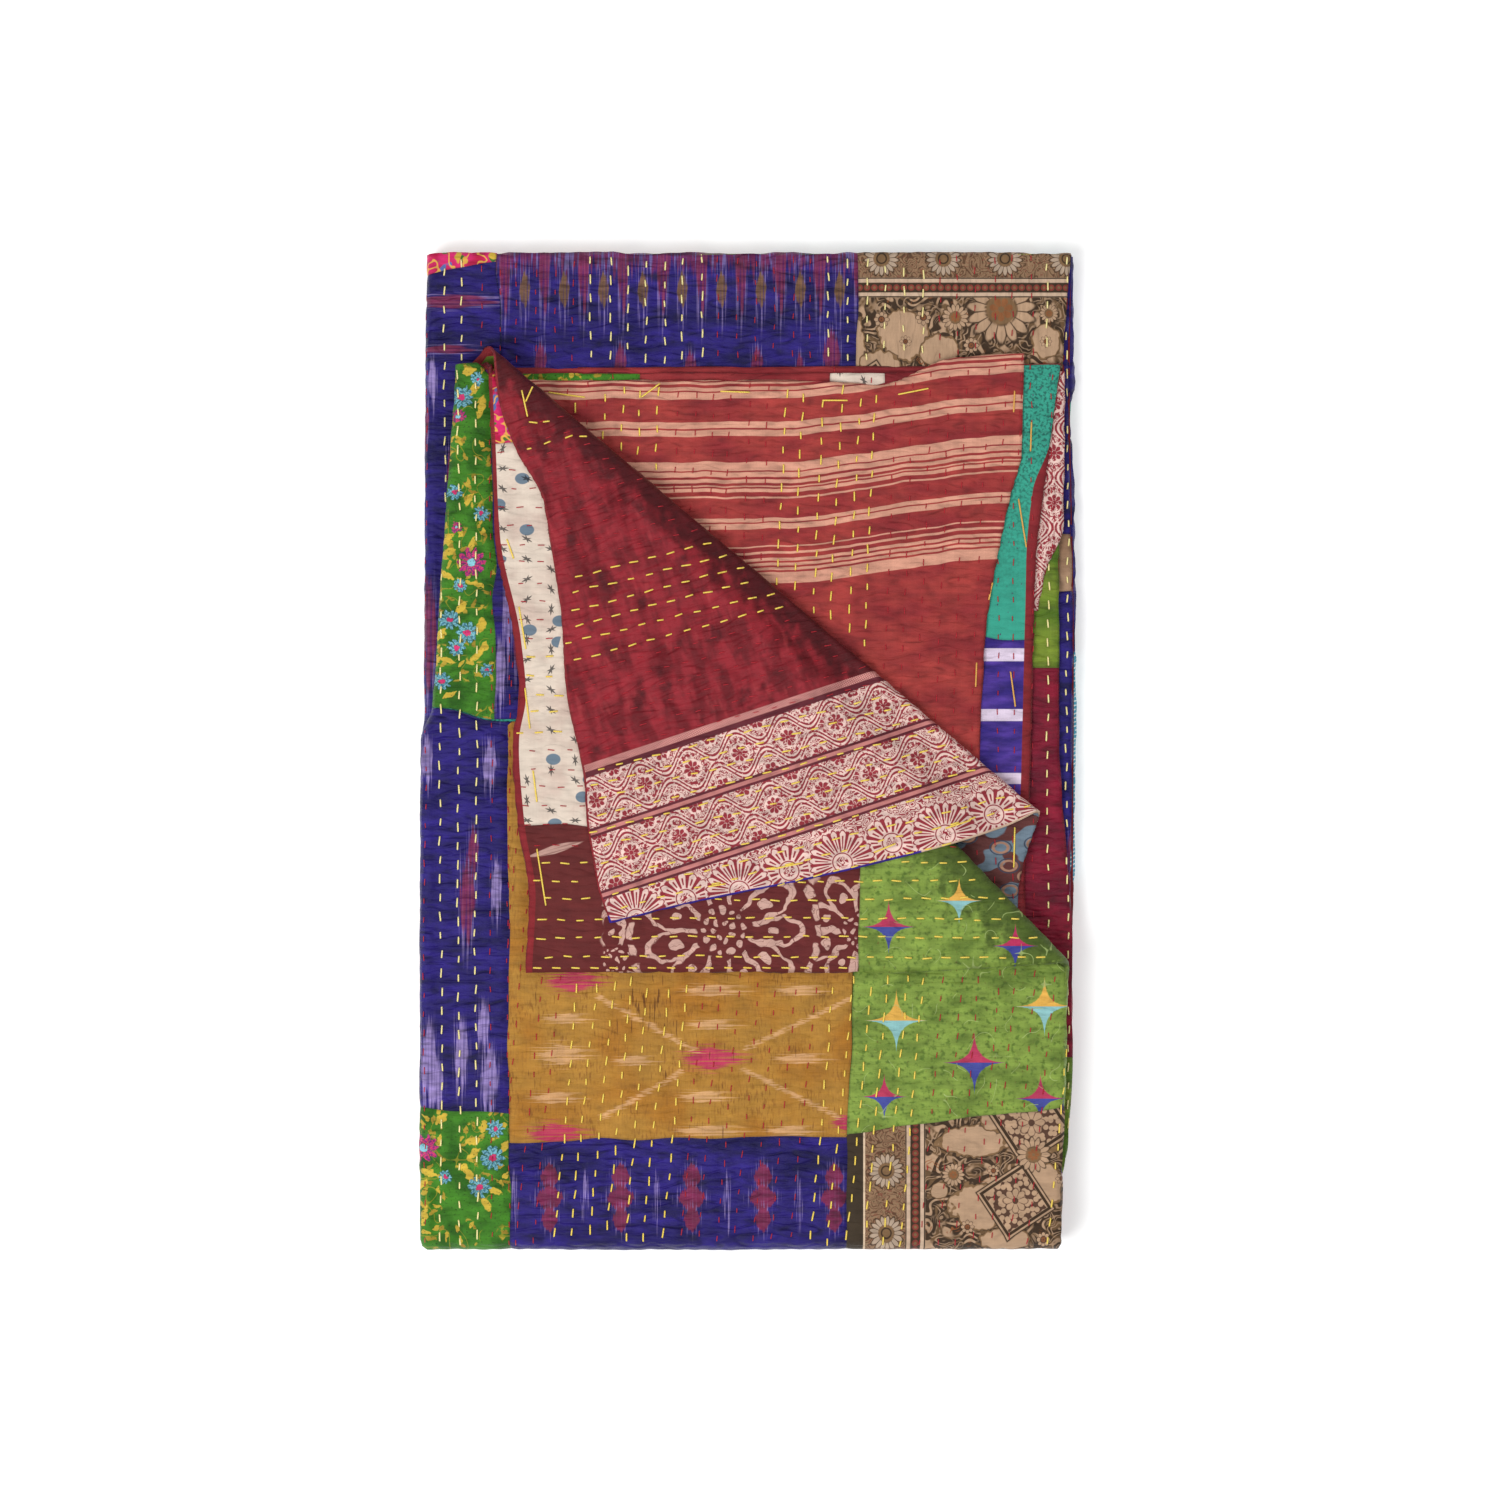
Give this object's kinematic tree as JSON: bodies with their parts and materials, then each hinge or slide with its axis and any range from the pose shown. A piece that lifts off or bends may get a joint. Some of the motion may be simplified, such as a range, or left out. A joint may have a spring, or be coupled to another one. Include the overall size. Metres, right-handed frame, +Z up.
{
  "type": "folded kantha quilt",
  "caption": "Patchwork quilt of old sari cloth held together by rows of running stitch, folded into a flat rectangle with its upper corner layers turned back.",
  "frame": {"origin": "middle of the folded quilt's footprint, on the surface it lies on", "axes": "+Z up, +Y along the quilt from its bottom fold to its top fold, +X across it to the side where the hems fan out"},
  "size_m": [0.391, 0.5938, 0.0383],
  "materials": {
    "quilt_cloth": "soft woven silk and cotton with a slight sheen"
  },
  "bodies": {
    "root": {"quilt": "quilt_cloth"}
  },
  "joints": []
}
